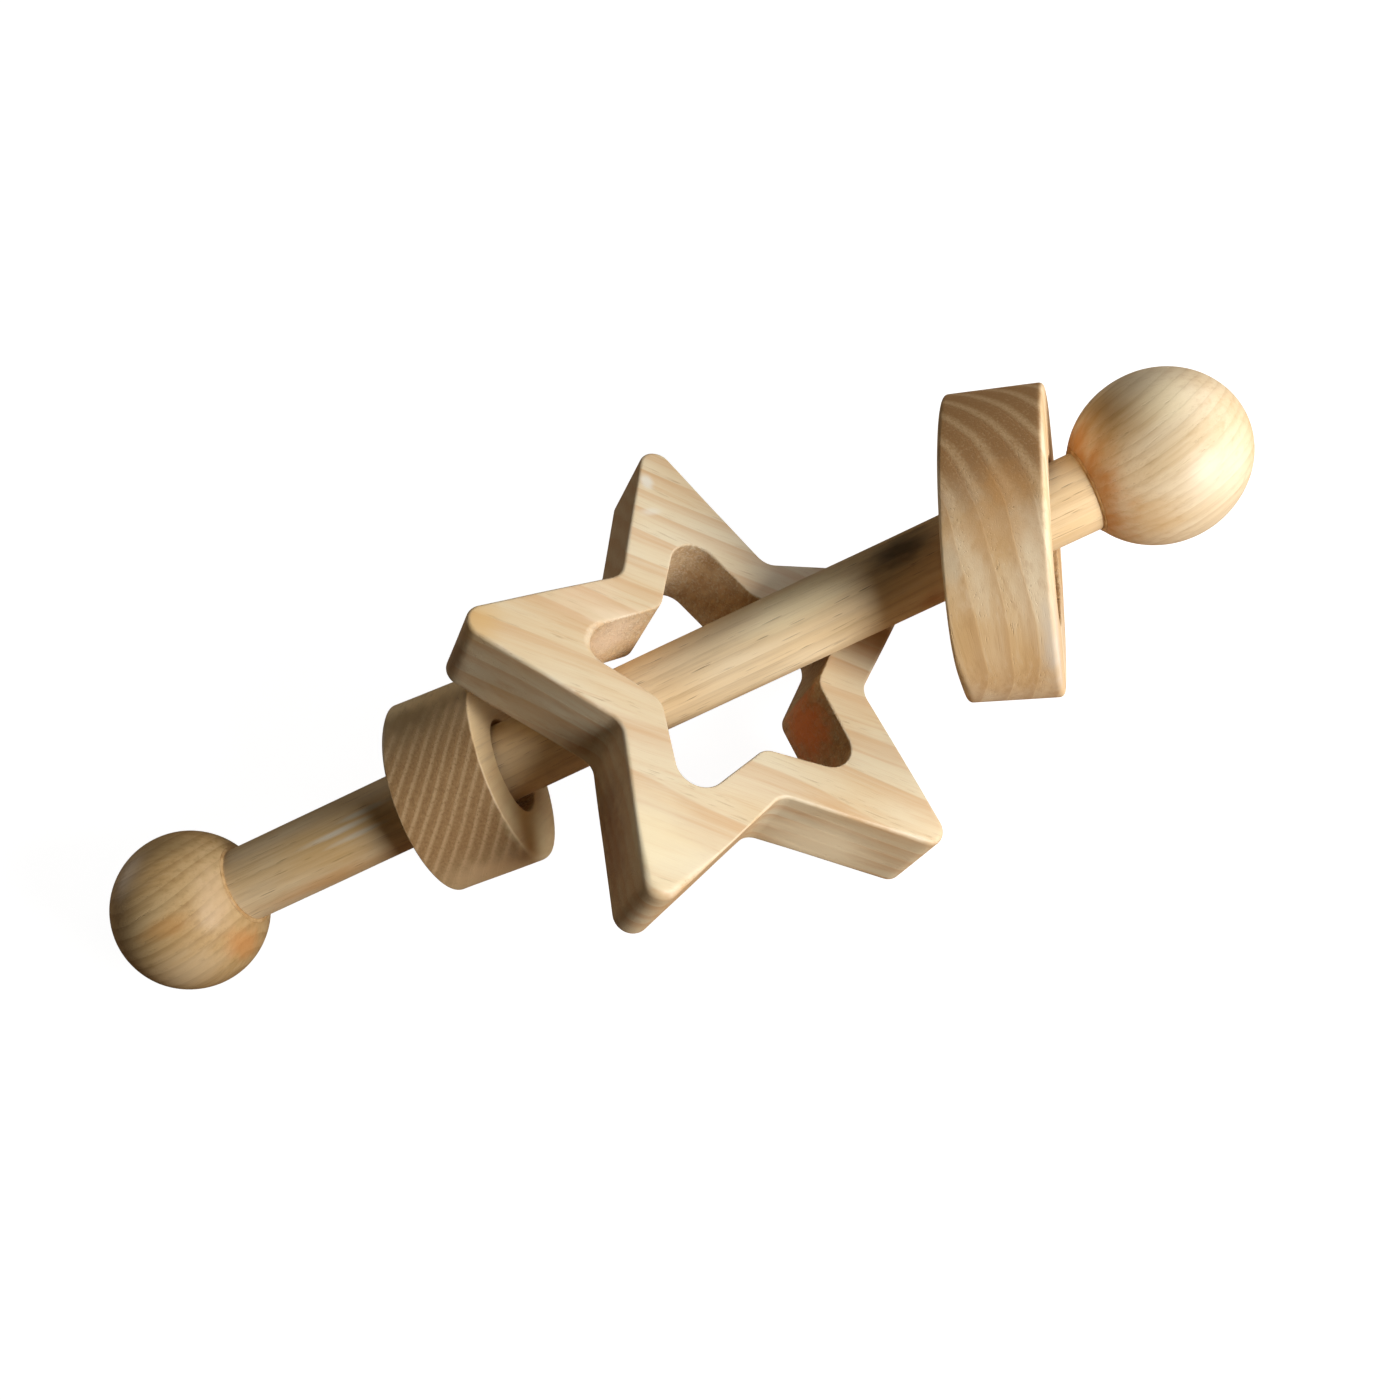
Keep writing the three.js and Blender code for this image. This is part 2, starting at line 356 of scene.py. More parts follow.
class Ash(Shader):
    """Oiled ash, as a solid texture that follows from how the piece was cut from its log, with real stains and
    painted light and shade laid over it.
    """

    def __init__(self, name, place, tones, cut, stains_and_painted_light):
        self.material = bpy.data.materials.new(name)
        super().__init__(self.material)
        self.tones = Tones(*(colour(*tone) for tone in tones))
        self.cut = cut
        point = self.node("TexCoord").outputs
        self.lay_in_log(place, point["Object"])
        self.grow_rings()
        self.add_patterns()
        self.find_end_grain(place, point["Normal"])

        wood = self.blend(self.long_grain(), self.end_grain(), self.end, cut.end_depth)
        wood = self.blend(wood, self.tones.pore, self.pores, cut.pore_depth)
        wood = self.blend(wood, self.sawn_wood(), self.sawn, SAWN_SHARE)
        # Real stains, painted light and painted shade are laid over the wood here
        wood = self.with_stains_and_painted_light(wood, stains_and_painted_light)
        # Rounded edges take the worn tone in patches. This is partly wear and partly painted light: a painted
        # highlight on the star and the small ring, and painted shade that dulls the lamp-lit rims of the large
        # ring.
        edge_wear_and_light = self.span(self.noise(self.in_straight_log, EDGE_WEAR_AND_LIGHT_PATTERN), *EDGE_WEAR_AND_LIGHT_LEVELS)
        wood = self.blend(wood, self.tones.worn, self.attribute("edge"), edge_wear_and_light, EDGE_WEAR_AND_LIGHT_SHARE)
        self.oil(wood)

    def lay_in_log(self, place, point):
        """Find the point in the piece's axes, and in the log: along the grain, outwards and sideways."""
        to_piece = Matrix(place.axes.T.tolist())
        self.in_piece = self.node("Mapping", {
            "Vector": point,
            "Location": -(to_piece @ Vector(place.centre)) / MM,
            "Rotation": to_piece.to_euler("XYZ"),
            "Scale": (1 / MM,) * 3,
        }).outputs["Vector"]

        fibre = Vector(self.cut.fibre).normalized()
        outward = Vector(self.cut.outward)
        outward = (outward - outward.dot(fibre) * fibre).normalized()
        self.in_straight_log = self.node("Mapping", {
            "Vector": self.in_piece,
            "Location": (0, self.cut.pith, 0),
            "Rotation": Matrix((fibre, outward, fibre.cross(outward))).to_euler("XYZ"),
        }).outputs["Vector"]

        # The grain strays slowly, across itself only
        bends = Pattern((self.cut.waves, BENDS_ACROSS, BENDS_ACROSS), 1.0)
        bend = self.vector("SUBTRACT", self.noise(self.in_straight_log, bends, "Color"), (0.5,) * 3)
        bend = self.vector("MULTIPLY", bend, (0, 2 * self.cut.wander, 2 * self.cut.wander))
        self.in_log = self.vector("ADD", self.in_straight_log, bend)

    def grow_rings(self):
        """Late wood darkens and stops short, then a pale line begins the next year's early wood."""
        from_heart = self.vector("LENGTH", self.vector("MULTIPLY", self.in_log, (0, 1, 1)))
        rings = self.math("DIVIDE", from_heart, self.cut.ring_width)
        share = self.math("FRACT", rings)
        self.late = self.band(share, *LATE_WOOD)
        self.line = self.band(share, *PALE_LINE)
        self.early = self.math("SUBTRACT", 1.0, self.span(share, *EARLY_WOOD_FADES))
        year = self.math("FLOOR", rings)
        self.year = self.node("TexWhiteNoise", {"W": year}, noise_dimensions="1D").outputs["Value"]

    def add_patterns(self):
        """Fibres, pores and cells run along the grain, and show as dots where it ends."""
        self.streaks = self.noise(self.in_log, STREAKS)
        self.fibres = self.noise(self.in_log, FIBRES)
        self.cells = self.noise(self.in_log, CELLS)
        pores = self.span(self.noise(self.in_log, PORES), *PORE_LEVELS)
        self.pores = self.product(pores, self.math("ADD", LATE_PORE_SHARE, self.early))
        self.speckles = self.span(self.noise(self.in_piece, SPECKLES), *SPECKLE_LEVELS)
        self.sawn = self.attribute("sawn")

    def find_end_grain(self, place, normal):
        along_grain = tuple(place.axes @ np.array(Vector(self.cut.fibre).normalized()))
        facing = self.math("ABSOLUTE", self.vector("DOT_PRODUCT", normal, along_grain))
        self.end = self.span(facing, self.cut.end_from, END_GRAIN_FULL)

    def long_grain(self):
        tones = self.tones
        flat_rings = self.cut.flat_rings
        ring_share = self.math("ADD", flat_rings, self.product(self.end, 1 - flat_rings))
        streak_depth = self.cut.streak_depth
        blotch = self.span(self.noise(self.in_straight_log, BLOTCHES), *BLOTCH_LEVELS)
        wood = self.mix(blotch, tones.pale, tones.warm)
        wood = self.blend(wood, tones.warm, self.year, YEAR_SHARE)
        wood = self.blend(wood, tones.dark, self.late, self.cut.ring_depth, ring_share)
        wood = self.blend(wood, tones.dark, self.span(self.streaks, *DARK_STREAK_LEVELS), streak_depth)
        wood = self.blend(wood, tones.pale, self.span(self.streaks, *PALE_STREAK_LEVELS), streak_depth)
        dark_fibres = self.span(self.fibres, *DARK_FIBRE_LEVELS)
        return self.blend(wood, tones.dark, dark_fibres, FIBRE_SHARE * streak_depth)

    def end_grain(self):
        """End grain drinks more oil, and has a pale line in each ring and fine dark and pale dots."""
        tones = self.tones
        cells = self.cells
        wood = self.blend(tones.end, tones.dark, self.span(cells, *DARK_CELL_LEVELS), DARK_CELL_SHARE)
        wood = self.blend(wood, tones.line, self.span(cells, *PALE_CELL_LEVELS), PALE_CELL_SHARE)
        whole = self.span(cells, *WHOLE_LINE_LEVELS)
        return self.blend(wood, tones.line, self.line, self.cut.line_depth, whole)

    def sawn_wood(self):
        """A rough sawn wall is speckled with torn, paler fibres."""
        tones = self.tones
        torn = self.span(self.noise(self.in_piece, TORN_FIBRES), *TORN_LEVELS)
        wood = self.blend(self.mix(0.5, tones.end, tones.warm), tones.pore, torn, TORN_SHARE)
        return self.blend(wood, tones.worn, self.speckles, SPECKLE_SHARE)

    def with_stains_and_painted_light(self, wood, stains_and_painted_light):
        cloud = self.product(self.noise(self.in_log, CLOUDS), STAIN_AND_LIGHT_CLOUDING)
        # Each patch is a real stain, painted light or painted shade
        for stain_and_light_patch in stains_and_painted_light:
            offset = self.vector("SUBTRACT", self.in_piece, stain_and_light_patch.centre)
            away = self.vector("LENGTH", self.vector("DIVIDE", offset, stain_and_light_patch.reach))
            inside = self.span(self.math("ADD", away, cloud), *STAIN_AND_LIGHT_LEVELS)
            wood = self.blend(wood, colour(*stain_and_light_patch.tone), inside, stain_and_light_patch.strength)
        return wood

    def oil(self, wood):
        height = self.total(
            (self.fibres, FIBRE_RELIEF),
            (self.pores, -1),
            (self.late, LATE_WOOD_RELIEF),
            (self.product(self.end, self.cells), CELL_RELIEF),
            (self.product(self.sawn, self.speckles), SPECKLE_RELIEF),
        )
        relief = {"Strength": RELIEF_STRENGTH, "Distance": RELIEF_HEIGHT, "Height": height}
        surface = self.node("BsdfPrincipled", {
            "Base Color": wood,
            "Roughness": self.math("ADD", WOOD_ROUGHNESS, self.product(self.streaks, STREAK_ROUGHNESS)),
            "Specular IOR Level": 0.4,
            "Coat Weight": 0.1,
            "Coat Roughness": 0.3,
            "Normal": self.node("Bump", relief).outputs["Normal"],
        })
        self.output(surface.outputs["BSDF"])


def mesh_object(name, grid, closed_rows, material, **attributes):
    """A surface from a grid of points: its columns always close, and its rows close or end in a point."""
    rows, columns, _ = grid.shape
    vertices = grid.reshape(-1, 3)
    index = np.arange(rows * columns).reshape(rows, columns)
    row_pairs = rows if closed_rows else rows - 1
    faces = []
    for i in range(row_pairs):
        here = index[i]
        there = index[(i + 1) % rows]
        for j in range(columns):
            k = (j + 1) % columns
            faces.append((here[j], there[j], there[k], here[k]))
    if not closed_rows:
        first = len(vertices)
        vertices = np.vstack([vertices, grid[0].mean(0), grid[-1].mean(0)])
        for j in range(columns):
            k = (j + 1) % columns
            faces.append((first, index[0][j], index[0][k]))
            faces.append((first + 1, index[-1][k], index[-1][j]))
    mesh = bpy.data.meshes.new(name)
    mesh.from_pydata(vertices.tolist(), [], [[int(v) for v in face] for face in faces])
    for attribute, values in attributes.items():
        per_vertex = np.zeros(len(vertices), np.float32)
        per_vertex[:rows * columns] = values.ravel()
        mesh.attributes.new(attribute, "FLOAT", "POINT").data.foreach_set("value", per_vertex)
    mesh.polygons.foreach_set("use_smooth", [True] * len(mesh.polygons))
    mesh.materials.append(material)
    mesh.update()
    piece = bpy.data.objects.new(name, mesh)
    bpy.context.scene.collection.objects.link(piece)
    return piece


def grid_normals(grid, closed_rows):
    """Unit normals of a grid that turns round its columns."""
    along_columns = np.roll(grid, -1, 1) - np.roll(grid, 1, 1)
    if closed_rows:
        along_rows = np.roll(grid, -1, 0) - np.roll(grid, 1, 0)
    else:
        along_rows = np.gradient(grid, axis=0)
    normals = np.cross(along_rows, along_columns)
    return normals / np.maximum(np.linalg.norm(normals, axis=2, keepdims=True), 1e-12)


def field(points, size, seed):
    """Smooth noise from 0 to 1 at each point, with bumps of about that size."""
    offset = Vector([seed * step for step in SEED_STEPS])
    flat = points.reshape(-1, 3)
    values = [noise.noise(Vector(p) / size + offset) for p in flat]
    return (np.clip(np.array(values), -1, 1) * 0.5 + 0.5).reshape(points.shape[:-1])


def hand_finish(grid, closed_rows, finish):
    """Sanding never leaves a surface quite true: it sinks here and there."""
    sunk = finish.depth * field(grid, finish.size, finish.seed)
    return grid - grid_normals(grid, closed_rows) * sunk[..., None]


def turned(profile, segments):
    """A grid turned about X from points along and off the axis."""
    along, radius = profile.T
    angle = -2 * math.pi * np.arange(segments) / segments
    sides = np.outer(radius, np.cos(angle)), np.outer(radius, np.sin(angle))
    return np.stack([np.repeat(along[:, None], segments, axis=1), *sides], axis=2)


def star_outline(tip_radius, valley_radius, tip_round, valley_round):
    """Points of a rounded star and their outward normals, evenly matched from one star to another."""
    step = math.pi / POINTS
    tip_half = math.atan2(valley_radius * math.sin(step), tip_radius - valley_radius * math.cos(step))
    valley_half = math.atan2(tip_radius * math.sin(step), tip_radius * math.cos(step) - valley_radius)
    arcs = []
    for i in range(2 * POINTS):
        at_tip = i % 2 == 0
        radius, half = (tip_round, tip_half) if at_tip else (valley_round, valley_half)
        reach = tip_radius if at_tip else valley_radius
        side = 1 if at_tip else -1
        centre = reach - side * radius / math.sin(half)
        turns = np.linspace(half - math.pi / 2, math.pi / 2 - half, STAR_ARC_STATIONS) * side
        normals = np.exp(1j * (i * step + turns))
        arcs.append((centre * np.exp(1j * i * step) + side * radius * normals, normals))
    points = []
    normals = []
    for i, (arc, arc_normals) in enumerate(arcs):
        next_arc = arcs[(i + 1) % len(arcs)][0]
        shares = np.arange(1, STAR_SIDE_STEPS) / STAR_SIDE_STEPS
        points += [arc, arc[-1] + shares * (next_arc[0] - arc[-1])]
        normals += [arc_normals, np.repeat(arc_normals[-1], len(shares))]
    return np.concatenate(points), np.concatenate(normals)


def circle_outline(radius):
    normals = np.exp(2j * math.pi * np.arange(RING_STATIONS) / RING_STATIONS)
    return radius * normals, normals


def moved_outwards(outline, distance):
    points, normals = outline
    return points + distance * normals, normals


def edge_radii(outline, edge, seed):
    """An edge's radius all the way round: it wanders, and is larger where the edge is worn."""
    points = outline[0]
    stations = len(points)
    angle = 2 * math.pi * np.arange(stations) / stations
    ring = np.stack([np.cos(angle), np.sin(angle), np.zeros(stations)], axis=1)
    radii = edge.low + (edge.high - edge.low) * field(ring, 1 / edge.waves, seed)
    for spot in edge.wear:
        radii = radii + spot.extra * np.exp(-np.abs(points - complex(*spot.place)) ** 2 / spot.reach ** 2)
    return radii


def pierced_plate(outline, hole, thickness, rounds):
    """A plate with a hole, as a grid of sections, with shares of rounded edge and of sawn hole wall.

    Each outline holds points and outward normals. rounds holds the edge radii all the way round for
    the outer front, hole front, hole back and outer back edge. The plate's axis is X.
    """
    loops = {"outer": (outline[0], -outline[1]), "hole": hole}
    half = thickness / 2
    columns = []

    def add(loop, inset, height, edge=0.0, sawn=0.0):
        points, inward = loops[loop]
        columns.append((points + inset * inward, height, edge, sawn))

    def fillet(loop, radius, front, opening):
        angles = np.linspace(0, math.pi / 2, FILLET_STATIONS)
        for angle in angles if opening else angles[::-1]:
            height = front * (half - radius * (1 - math.sin(angle)))
            sawn = math.cos(angle) if loop == "hole" else 0.0
            add(loop, radius * (1 - math.cos(angle)), height, math.sin(2 * angle), sawn)

    def wall(loop, low, high):
        count = round(thickness / GRID_SPACING)
        for share in np.arange(1, count) / count:
            add(loop, 0.0, low + share * (high - low), 0.0, 1.0 if loop == "hole" else 0.0)

    def face(start, end):
        count = round(abs(start - end).mean() / GRID_SPACING)
        height = columns[-1][1]
        for share in np.arange(1, count) / count:
            columns.append((start + share * (end - start), height, 0.0, 0.0))

    outer_front, hole_front, hole_back, outer_back = rounds
    wall("outer", outer_back - half, half - outer_front)
    fillet("outer", outer_front, 1, True)
    face(columns[-1][0], hole[0] + hole_front * hole[1])
    fillet("hole", hole_front, 1, False)
    wall("hole", half - hole_front, hole_back - half)
    fillet("hole", hole_back, -1, True)
    face(columns[-1][0], outline[0] - outer_back * outline[1])
    fillet("outer", outer_back, -1, False)

    stations = len(outline[0])
    flat, height, edge, sawn = (
        np.array([np.broadcast_to(column[i], stations) for column in columns]).T for i in range(4)
    )
    return np.stack([height.real, flat.real, flat.imag], axis=2), edge, sawn


def build_plate(name, place, outline, hole, thickness, edges, first_seed, finish, material):
    """A flat piece with a hole. Its edges come in the order that pierced_plate takes."""
    outline = moved_outwards(outline, -INSET)
    hole = moved_outwards(hole, INSET)
    loops = (outline, hole, hole, outline)
    rounds = [edge_radii(loop, edge, first_seed + i) for i, (loop, edge) in enumerate(zip(loops, edges))]
    grid, edge, sawn = pierced_plate(outline, hole, thickness - 2 * INSET, rounds)
    grid = hand_finish(grid, True, finish)
    return mesh_object(name, place.to_frame(grid), True, material, edge=edge, sawn=sawn)


def along_board(turn, slant):
    """Fibre and outward direction of a plate that is cut flat from a board.

    The fibres lie in the plate, turned round its axis. The way out of the log leans from that axis.
    """
    turn = math.radians(turn)
    slant = math.radians(slant)
    outward = (math.cos(slant), -math.sin(slant) * math.sin(turn), math.sin(slant) * math.cos(turn))
    return (0, math.cos(turn), math.sin(turn)), outward


# The dowel

DOWEL_FINISH = Finish(depth=0.06, size=9.0, seed=3)
DOWEL_TONES = Tones(
    pale=(244, 224, 188),
    warm=(230, 202, 156),
    dark=(166, 130, 84),
    pore=(118, 84, 50),
    end=(150, 112, 70),
    line=(214, 184, 142),
    worn=(244, 230, 202),
)
DOWEL_CUT = Cut((1, 0.012, 0.02), (0, 0.9, 0.45), ring_width=1.9, wander=0.9, pith=40.0,
                ring_depth=0.16, streak_depth=0.24)
DOWEL_STAINS_AND_PAINTED_SHADOW = (
    StainAndPaintedLight((-54.0, -2.0, 4.0), (20.0, 7.0, 5.0), (214, 168, 92), 0.45),
    StainAndPaintedLight((-52.0, -2.2, 5.5), (8.0, 0.6, 1.6), (238, 230, 212), 0.8),
    StainAndPaintedLight((-48.5, -3.6, 4.8), (7.0, 0.5, 1.4), (236, 226, 206), 0.7),
    StainAndPaintedLight((-46.0, -1.0, 5.9), (7.0, 0.6, 1.6), (236, 228, 210), 0.7),
    StainAndPaintedLight((-57.0, -6.0, 0.0), (16.0, 2.6, 2.6), (206, 146, 78), 0.5),
    StainAndPaintedLight((25.0, 0.0, 6.0), (12.0, 5.0, 4.0), (255, 242, 204), 0.5),
    StainAndPaintedLight((43.9, -6.0, -0.1), (3.5, 2.2, 2.6), (178, 110, 62), 0.5),
    # Painted shadow: the large ring's shadow, dark brown on the dowel just left of the ring
    StainAndPaintedLight((42.5, 0.5, 5.8), (7.0, 4.5, 4.0), (60, 38, 18), 0.82),
)


def dowel_radius(dowel):
    return extents("dowel", dowel.centre, dowel.axes[:, 0])[-1]


def build_dowel(place):
    low, high, _, radius = extents("dowel", place.centre, place.axes[:, 0])
    radius -= INSET
    end_radius = radius - DOWEL_CHAMFER
    start = low + DOWEL_CHAMFER
    stop = high - DOWEL_CHAMFER
    profile = [(low + INSET, end_radius)]
    profile += [(x, radius) for x in np.linspace(start, stop, DOWEL_STATIONS)]
    profile += [(high - INSET, end_radius)]
    grid = hand_finish(turned(np.array(profile), DOWEL_SEGMENTS), False, DOWEL_FINISH)
    wood = Ash("dowel_wood", place, DOWEL_TONES, DOWEL_CUT, DOWEL_STAINS_AND_PAINTED_SHADOW)
    return mesh_object("dowel_stick", place.to_frame(grid), False, wood.material)


# The balls, and the line of dried glue round each one's mouth

LEFT_BALL_FINISH = Finish(depth=0.07, size=7.0, seed=4)
LEFT_BALL_TONES = Tones(
    pale=(220, 192, 144),
    warm=(206, 170, 116),
    dark=(156, 118, 68),
    pore=(124, 92, 54),
    end=(180, 142, 92),
    line=(216, 186, 140),
    worn=(230, 208, 166),
)
LEFT_BALL_CUT = Cut((1, -0.05, 0.08), (0, 0.84, -0.54), ring_width=1.8, wander=1.0, pith=30.0,
                    ring_depth=0.4, line_depth=0.3, end_depth=0.2, pore_depth=0.15)
LEFT_BALL_TONE_PATCHES = (
    StainAndPaintedLight((-7.7, -9.4, 1.3), (3.5, 4.0, 6.0), (222, 150, 84), 0.55),
    StainAndPaintedLight((-8.6, -4.0, -6.0), (4.0, 7.0, 6.0), (226, 196, 156), 0.5),
    # Darker and olive towards the top and back
    StainAndPaintedLight((-3.0, 5.5, -10.6), (8.0, 5.0, 5.0), (152, 126, 84), 0.45),
    StainAndPaintedLight((-1.0, -12.0, -3.0), (9.0, 4.0, 8.0), (234, 208, 168), 0.5),
    StainAndPaintedLight((-2.5, -7.5, -9.5), (6.0, 2.2, 3.0), (206, 146, 76), 0.4),
)

RIGHT_BALL_FINISH = Finish(depth=0.07, size=7.0, seed=6)
RIGHT_BALL_TONES = Tones(
    pale=(228, 212, 182),
    warm=(214, 190, 150),
    dark=(170, 134, 84),
    pore=(150, 112, 66),
    end=(198, 160, 108),
    line=(226, 202, 164),
    worn=(240, 230, 206),
)
RIGHT_BALL_CUT = Cut((1, 0.14, 0.2), (0, 0.84, 0.54), ring_width=1.4, wander=1.8, pith=34.0,
                     ring_depth=0.2, line_depth=0.2, streak_depth=0.25, end_depth=0.2, pore_depth=0.08)
RIGHT_BALL_STAINS_AND_PAINTED_LIGHT = (
    StainAndPaintedLight((-11.0, 1.0, 1.0), (6.5, 16.0, 16.0), (200, 130, 50), 0.85),
    # Painted shade: darker at the top, towards the neck
    StainAndPaintedLight((-6.0, 3.0, 10.0), (5.0, 6.0, 4.0), (168, 134, 82), 0.55),
    StainAndPaintedLight((4.0, -10.0, 6.0), (7.0, 6.0, 7.0), (240, 228, 204), 0.4),
    # Painted shade: darker on the front, lower side, towards the neck
    StainAndPaintedLight((-6.0, -11.0, 2.0), (6.0, 6.0, 6.0), (206, 168, 112), 0.45),
    # Painted light: paler on the top
    StainAndPaintedLight((1.5, 0.0, 12.5), (6.0, 6.0, 4.0), (246, 232, 196), 0.5),
)


# The glue's pale and dark tones
LEFT_GLUE_TONES = ((216, 182, 132), (190, 150, 100))
RIGHT_GLUE_TONES = ((206, 168, 116), (178, 134, 82))


def ball_profile(half_length, radius, bore):
    """A ball with a blind bore, from the bore's bottom round the mouth to the far side."""
    bottom = DOWEL_PAST_CENTRE + GLUE_GAP
    mouth = math.asin((bore + BALL_MOUTH_ROUND) / radius)
    angles = np.linspace(mouth, math.pi, BALL_STATIONS)[:-1]
    outside = np.column_stack([-half_length * np.cos(angles), radius * np.sin(angles)])
    turns = np.linspace(math.pi / 2, 0, MOUTH_STATIONS)[:-1]
    lip_start = outside[0, 0] + BALL_MOUTH_ROUND * (1 - np.cos(turns))
    lip = np.column_stack([lip_start, bore + BALL_MOUTH_ROUND * (1 - np.sin(turns))])
    wall = [(x, bore) for x in np.linspace(bottom, lip[0, 0], MOUTH_STATIONS)[:-1]]
    return np.vstack([(bottom, bore / 2), wall, lip, outside])


def build_ball(node, name, side, dowel, finish, tones, cut, stains_and_painted_light):
    """A drilled ball: its bore takes the dowel and its far side is whole."""
    axis = dowel.axes[:, 0] * side
    centre, _ = surface_moments(node)
    low, high, _, radius = extents(node, centre, axis)
    bore = dowel_radius(dowel) + GLUE_GAP
    # The mouth lies where the ball's surface meets the bore, so the node is that much short of a whole ball
    half_length = (high - low) / (1 + math.sqrt(1 - (bore / radius) ** 2))
    place = Place(centre + axis * (high - half_length) * MM, axes_from(axis, dowel.axes[:, 1]))
    profile = ball_profile(half_length - INSET, radius - INSET, bore)
    grid = hand_finish(turned(profile, BALL_SEGMENTS), False, finish)
    wood = Ash(name + "_wood", place, tones, cut, stains_and_painted_light)
    return mesh_object(name, place.to_frame(grid), False, wood.material)


def build_left_ball(dowel):
    return build_ball("left_end_ball", "left_ball", -1, dowel,
                      LEFT_BALL_FINISH, LEFT_BALL_TONES, LEFT_BALL_CUT, LEFT_BALL_TONE_PATCHES)


def build_right_ball(dowel):
    return build_ball("right_end_ball", "right_ball", 1, dowel,
                      RIGHT_BALL_FINISH, RIGHT_BALL_TONES, RIGHT_BALL_CUT, RIGHT_BALL_STAINS_AND_PAINTED_LIGHT)


def build_glue(name, node, side, dowel, tones):
    """A thin line of dried glue in the gap between a ball and the dowel."""
    axis = dowel.axes[:, 0] * side
    centre, _ = surface_moments(node)
    low, _, _, _ = extents(node, centre, axis)
    place = Place(centre + axis * low * MM, axes_from(axis, dowel.axes[:, 1]))
    section = np.array(GLUE_SECTION) + (0, dowel_radius(dowel))
    material = bpy.data.materials.new(name + "_material")
    shader = Shader(material)
    pale, dark = tones
    point = shader.node("TexCoord").outputs["Object"]
    share = shader.span(shader.noise(point, GLUE_MOTTLE), *GLUE_LEVELS)
    surface = shader.node("BsdfPrincipled", {
        "Base Color": shader.mix(share, colour(*dark), colour(*pale)),
        "Roughness": GLUE_ROUGHNESS,
    })
    shader.output(surface.outputs["BSDF"])
    return mesh_object(name, place.to_frame(turned(section, GLUE_SEGMENTS)), True, material)


# The two loose rings, which show end grain on two sides and long grain between

RING_FINISH = Finish(depth=0.08, size=8.0, seed=7)
RING_FIRST_SEED = 11
RING_WAVES = 0.8

SMALL_RING_EDGES = (
    Edge(0.25, 0.45, RING_WAVES, (Wear((-13.5, -5.0), 5.0, 0.7),)),
    Edge(0.2, 0.5, RING_WAVES),
    Edge(0.4, 0.7, RING_WAVES),
    Edge(0.2, 0.4, RING_WAVES, (Wear((6.0, 14.0), 7.0, 0.7),)),
)
SMALL_RING_TONES = Tones(
    pale=(240, 216, 172),
    warm=(232, 200, 150),
    dark=(126, 90, 54),
    pore=(112, 78, 46),
    end=(178, 140, 96),
    line=(216, 182, 138),
    worn=(244, 224, 188),
)
SMALL_RING_CUT = Cut(*along_board(128, 39), ring_width=1.75, wander=0.7, ring_depth=0.3, flat_rings=0.1,
                     line_depth=0.9, streak_depth=0.2, end_depth=1.0, pore_depth=0.25)
SMALL_RING_STAINS_AND_PAINTED_LIGHT = (
    # Olive-grey at the top, towards the back, where no stripes show
    StainAndPaintedLight((-3.5, 5.0, 14.6), (9.0, 6.0, 4.0), (156, 128, 86), 0.75),
    # Painted light: the right face made pale where the star's shadow falls on it
    StainAndPaintedLight((7.4, -9.0, -2.0), (2.0, 14.0, 14.0), (255, 238, 190), 0.95),
    StainAndPaintedLight((0.0, -15.0, -2.0), (9.0, 6.0, 6.0), (240, 204, 156), 0.7),
)

LARGE_RING_EDGES = (
    Edge(0.7, 1.0, RING_WAVES),
    Edge(0.3, 0.6, RING_WAVES),
    Edge(0.5, 0.9, RING_WAVES),
    Edge(0.4, 0.8, RING_WAVES, (Wear((-22.0, -3.0), 7.0, 1.2),)),
)
LARGE_RING_TONES = Tones(
    pale=(244, 226, 194),
    warm=(222, 186, 134),
    dark=(176, 130, 80),
    pore=(130, 92, 54),
    end=(166, 126, 82),
    line=(222, 190, 146),
    # This worn tone is kept dull: on the rims it is painted shade against the lamps' highlight, as well as wear.
    worn=(206, 182, 142),
)
LARGE_RING_CUT = Cut(*along_board(70, -36), ring_width=3.4, wander=1.3, waves=0.05, flat_rings=0.6,
                     line_depth=0.55, streak_depth=0.25, end_depth=1.0, end_from=0.6, pore_depth=0.12)
LARGE_RING_STAINS_AND_PAINTED_SHADE = (
    StainAndPaintedLight((1.6, -5.4, 21.8), (5.0, 5.0, 4.0), (208, 152, 86), 0.45),
    StainAndPaintedLight((-5.9, -14.0, 17.5), (2.6, 4.0, 4.0), (214, 204, 180), 0.45),
    # Painted shade: a grey-cream cast over the right face and its front rim, which face the lamps, dulling their
    # lit highlight
    StainAndPaintedLight((8.5, -22.0, 5.0), (5.0, 14.0, 14.0), (214, 204, 190), 0.85),
    StainAndPaintedLight((0.5, -10.0, 19.5), (7.0, 7.0, 6.0), (208, 160, 102), 0.5),
)


def build_ring(node, name, dowel, edges, tones, cut, stains_and_painted_light):
    centre, axis = turning_axis(node, dowel.axes[:, 0])
    place = Place(centre, axes_from(axis, dowel.axes[:, 1]))
    low, high, bore, radius = extents(node, centre, axis)
    wood = Ash(name + "_wood", place, tones, cut, stains_and_painted_light)
    return build_plate(name, place, circle_outline(radius), circle_outline(bore), high - low,
                       edges, RING_FIRST_SEED, RING_FINISH, wood.material)


def build_small_ring(dowel):
    return build_ring("small_ring", "small_loose_ring", dowel,
                      SMALL_RING_EDGES, SMALL_RING_TONES, SMALL_RING_CUT, SMALL_RING_STAINS_AND_PAINTED_LIGHT)


def build_large_ring(dowel):
    return build_ring("large_ring", "large_loose_ring", dowel,
                      LARGE_RING_EDGES, LARGE_RING_TONES, LARGE_RING_CUT, LARGE_RING_STAINS_AND_PAINTED_SHADE)


# The star

